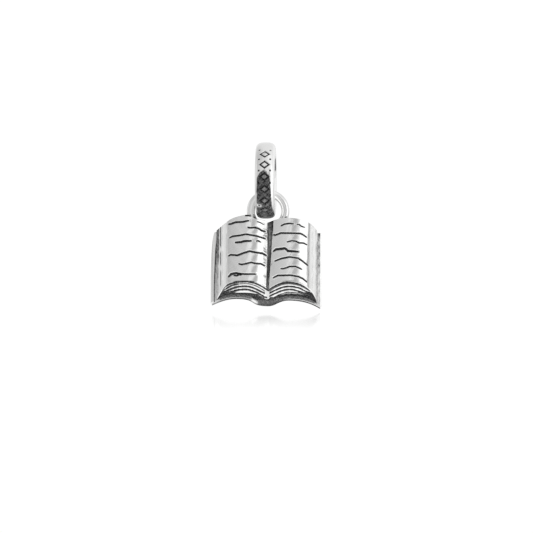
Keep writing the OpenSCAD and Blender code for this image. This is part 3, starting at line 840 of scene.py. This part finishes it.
def make_bail(material):
    """The bail: a rounded band with an engraved row of lozenges and dots at its front."""
    section = bail_section(112)
    # Fine steps over the front, where the ornament is, and coarse steps over the rest
    low, high = -95, 78
    fine = np.linspace(low, high, 560)
    coarse = np.linspace(high, low + 360, 150)[1:-1]
    angle = np.radians(np.concatenate([fine, coarse]))[:, None]
    across, out, angle = np.broadcast_arrays(section[:, 0][None], section[:, 1][None], angle)
    outside = smoothstep(out, BAIL_R - 0.75, BAIL_R - 0.6)
    front_angle = np.where(angle > math.pi, angle - 2 * math.pi, angle)
    tilt = np.degrees(front_angle)
    along = angle * BAIL_R
    depth, cut, raised = ornament(across, front_angle)
    worn = 0.005 + 0.005 * wobble(across, along, 0.8, 6.0)
    oxide_and_shade = np.maximum(cut, bail_patina(across, along, tilt, raised)) * outside
    oxide_and_shade = np.maximum(oxide_and_shade, hole_shade(across, out, tilt))
    out = out - outside * (depth + worn)
    y, z = -out * np.cos(angle), out * np.sin(angle)
    c, s = math.cos(-BAIL_TURN), math.sin(-BAIL_TURN)
    grid = np.stack([across * c - y * s, across * s + y * c, z + BAIL_Z], axis=-1)
    patches = Patches()
    patches.add(grid, oxide_and_shade, True, True)
    return patches.build("bail_ring", material, "bail_body", "bail")


def grey(level):
    """A neutral colour of a level."""
    return (level, level, level, 1)


class Nodes:
    """Short form for building a node tree."""

    def __init__(self, tree):
        self.tree = tree
        tree.nodes.clear()

    def add(self, kind, settings=None, **inputs):
        """A node of a kind, with its settings, and its inputs by name."""
        node = self.tree.nodes.new(kind)
        for key, value in (settings or {}).items():
            setattr(node, key, value)
        for key, value in inputs.items():
            name = key.replace("_", " ")
            socket = next(s for s in node.inputs if s.enabled and s.name.lower() == name.lower())
            self.put(socket, value)
        return node

    def put(self, socket, value):
        """Link an output to a socket, or set the socket's own value."""
        if isinstance(value, bpy.types.NodeSocket):
            self.tree.links.new(value, socket)
        else:
            socket.default_value = value

    def math(self, operation, a, b=0.0, clamp=False):
        """A sum, difference or product of two values."""
        node = self.tree.nodes.new("ShaderNodeMath")
        node.operation = operation
        node.use_clamp = clamp
        self.put(node.inputs[0], a)
        self.put(node.inputs[1], b)
        return node.outputs[0]

    def ramp(self, share, stops):
        """Grey levels at stops in degrees, from the first stop all the way round."""
        node = self.add("ShaderNodeValToRGB", Fac=share)
        points = node.color_ramp.elements
        while len(points) < len(stops):
            points.new(0.5)
        for point, (at, level) in zip(points, stops):
            point.position = (at - stops[0][0]) / 360
            point.color = grey(level)
        return node.outputs[0]

    def blend(self, share, a, b):
        """The colour at a share of the way from a to b."""
        node = self.add("ShaderNodeMix", {"data_type": "RGBA"})
        self.put(node.inputs[0], share)
        self.put(node.inputs[6], a)
        self.put(node.inputs[7], b)
        return node.outputs[2]


def silver(name, shine, scratch):
    """Silver that is polished on its faces, and oxidised or painted with shade where the value for
    both is high.
    """
    material = bpy.data.materials.new(name)
    material.use_nodes = True
    n = Nodes(material.node_tree)
    place = n.add("ShaderNodeTexCoord").outputs["Object"]
    grain = n.add("ShaderNodeTexNoise", Vector=place, Scale=9000.0, Detail=5.0, Roughness=0.6)
    cloud = n.add("ShaderNodeTexNoise", Vector=place, Scale=1400.0, Detail=3.0)
    oxide_and_shade = n.add("ShaderNodeAttribute", {"attribute_name": "oxide_and_shade"}).outputs["Fac"]
    uneven = n.math("SUBTRACT", grain.outputs["Fac"], 0.5)
    dark = n.math("ADD", oxide_and_shade, n.math("MULTIPLY", n.math("MULTIPLY", uneven, oxide_and_shade), 0.7), True)
    haze = n.math("MULTIPLY", n.math("SUBTRACT", cloud.outputs["Fac"], 0.5, True), 0.12)
    colour = n.blend(n.math("ADD", dark, haze, True), POLISHED_COLOUR, OXIDE_COLOUR)
    rough = n.math("ADD", n.math("MULTIPLY", dark, 0.32), shine)
    rough = n.math("ADD", rough, n.math("MULTIPLY", uneven, 0.06), True)
    stretched = n.add("ShaderNodeMapping", Vector=place, Scale=(14000.0, 14000.0, 900.0))
    hairs = n.add("ShaderNodeTexNoise", Vector=stretched.outputs[0], Scale=1.0, Detail=4.0)
    bump = n.add("ShaderNodeBump", Height=hairs.outputs["Fac"], Strength=scratch,
                 Distance=0.00001)
    pits = n.add("ShaderNodeBump", Height=grain.outputs["Fac"], Distance=0.00003,
                 Strength=n.math("ADD", n.math("MULTIPLY", dark, 0.8), 0.03),
                 Normal=bump.outputs[0])
    shader = n.add("ShaderNodeBsdfPrincipled", Base_Color=colour, Metallic=1.0,
                   Roughness=rough, Normal=pits.outputs[0])
    n.add("ShaderNodeOutputMaterial", Surface=shader.outputs[0])
    return material


def floor_white():
    """White that is lit from below, and mirrors the charm a little close by."""
    material = bpy.data.materials.new("floor_white")
    material.use_nodes = True
    n = Nodes(material.node_tree)
    place = n.add("ShaderNodeTexCoord").outputs["Object"]
    y = n.add("ShaderNodeSeparateXYZ", Vector=place).outputs["Y"]
    near = n.add("ShaderNodeMapRange", Value=y, From_Min=GLOSSY_Y[0], From_Max=GLOSSY_Y[1])
    oval = n.add("ShaderNodeMapping", Vector=place, Scale=(1, OVAL_FLATNESS, 1),
                 Location=(0, -OVAL_MIDDLE_Y * OVAL_FLATNESS, 0))
    away = n.add("ShaderNodeVectorMath", {"operation": "LENGTH"}, Vector=oval.outputs[0])
    beyond = n.add("ShaderNodeMapRange", {"interpolation_type": "SMOOTHSTEP"},
                   Value=away.outputs["Value"], From_Min=OVAL_FADE[0], From_Max=OVAL_FADE[1])
    around = n.add("ShaderNodeTexGradient", {"gradient_type": "RADIAL"}, Vector=place)
    behind = n.add("ShaderNodeMapRange", Value=y, From_Max=BEHIND_Y, To_Min=1.0,
                   To_Max=BEHIND_LEVEL)
    level = n.math("MULTIPLY", n.ramp(around.outputs["Fac"], STUDIO), behind.outputs[0])
    seen = n.add("ShaderNodeLightPath").outputs["Is Camera Ray"]
    far = n.math("MULTIPLY", beyond.outputs[0], n.math("SUBTRACT", 1.0, seen))
    matte = n.add("ShaderNodeEmission", Color=n.blend(far, grey(BRIGHT_FLOOR), level),
                  Strength=1.0)
    gloss = n.add("ShaderNodeBsdfGlossy", Color=grey(1), Roughness=0.04)
    mirror = n.math("MULTIPLY", n.add("ShaderNodeFresnel", IOR=1.45).outputs[0],
                    n.math("MULTIPLY", near.outputs[0], FLOOR_MIRROR))
    sheet = n.add("ShaderNodeMixShader")
    for socket, value in zip(sheet.inputs, (mirror, matte.outputs[0], gloss.outputs[0])):
        n.put(socket, value)
    n.add("ShaderNodeOutputMaterial", Surface=sheet.outputs[0])
    return material


def make_floor():
    """Flat floor just under the charm."""
    corners = [(-1, -1), (1, -1), (1, 1), (-1, 1)]
    mesh = bpy.data.meshes.new("floor")
    mesh.from_pydata([(x * FLOOR_SIZE, y * FLOOR_SIZE, FLOOR_Z) for x, y in corners], [],
                     [(0, 1, 2, 3)])
    mesh.materials.append(floor_white())
    floor = bpy.data.objects.new("floor", mesh)
    bpy.context.collection.objects.link(floor)


def make_world():
    """Soft studio around the charm: bright to the right and above, dimmer to the left."""
    world = bpy.data.worlds.new("studio")
    bpy.context.scene.world = world
    world.use_nodes = True
    n = Nodes(world.node_tree)
    way = n.add("ShaderNodeTexCoord").outputs["Generated"]
    parts = n.add("ShaderNodeSeparateXYZ", Vector=way)
    around = n.add("ShaderNodeTexGradient", {"gradient_type": "RADIAL"}, Vector=way)
    level = n.ramp(around.outputs["Fac"], STUDIO)
    above = n.ramp(around.outputs["Fac"], STUDIO_TOP)
    lift = n.add("ShaderNodeMapRange", {"interpolation_type": "SMOOTHSTEP"},
                 Value=parts.outputs["Z"], From_Min=0.3, From_Max=0.65)
    studio = n.blend(lift.outputs[0], level, above)
    seen = n.add("ShaderNodeLightPath").outputs["Is Camera Ray"]
    shown = n.blend(seen, studio, grey(BACKGROUND))
    glow = n.add("ShaderNodeBackground", Color=shown, Strength=1.0)
    n.add("ShaderNodeOutputWorld", Surface=glow.outputs[0])


def make_camera():
    """Level camera straight in front, framed as the photograph is."""
    pixel = FRAME_MM * MM / PHOTO_PX
    centre = Vector(((PHOTO_PX / 2 - ORIGIN_PX[0]) * pixel, 0,
                     (ORIGIN_PX[1] - PHOTO_PX / 2) * pixel))
    data = bpy.data.cameras.new("camera")
    data.sensor_width = 36.0
    data.lens = data.sensor_width * CAMERA_DISTANCE / (FRAME_MM * MM)
    data.clip_start = 0.01
    camera = bpy.data.objects.new("camera", data)
    bpy.context.collection.objects.link(camera)
    camera.location = centre + Vector((0, -CAMERA_DISTANCE, 0))
    camera.rotation_euler = (math.pi / 2, 0, 0)
    bpy.context.scene.camera = camera


satin = silver("book_silver", 0.12, 0.12)
polished = silver("bail_silver", 0.09, 0.08)
make_pages(LEFT, "left_pages", satin)
make_pages(RIGHT, "right_pages", satin)
make_cover(satin)
make_filling(satin)
make_ring(polished)
make_bail(polished)
make_floor()
make_world()
make_camera()
bpy.context.scene.view_settings.view_transform = "Standard"
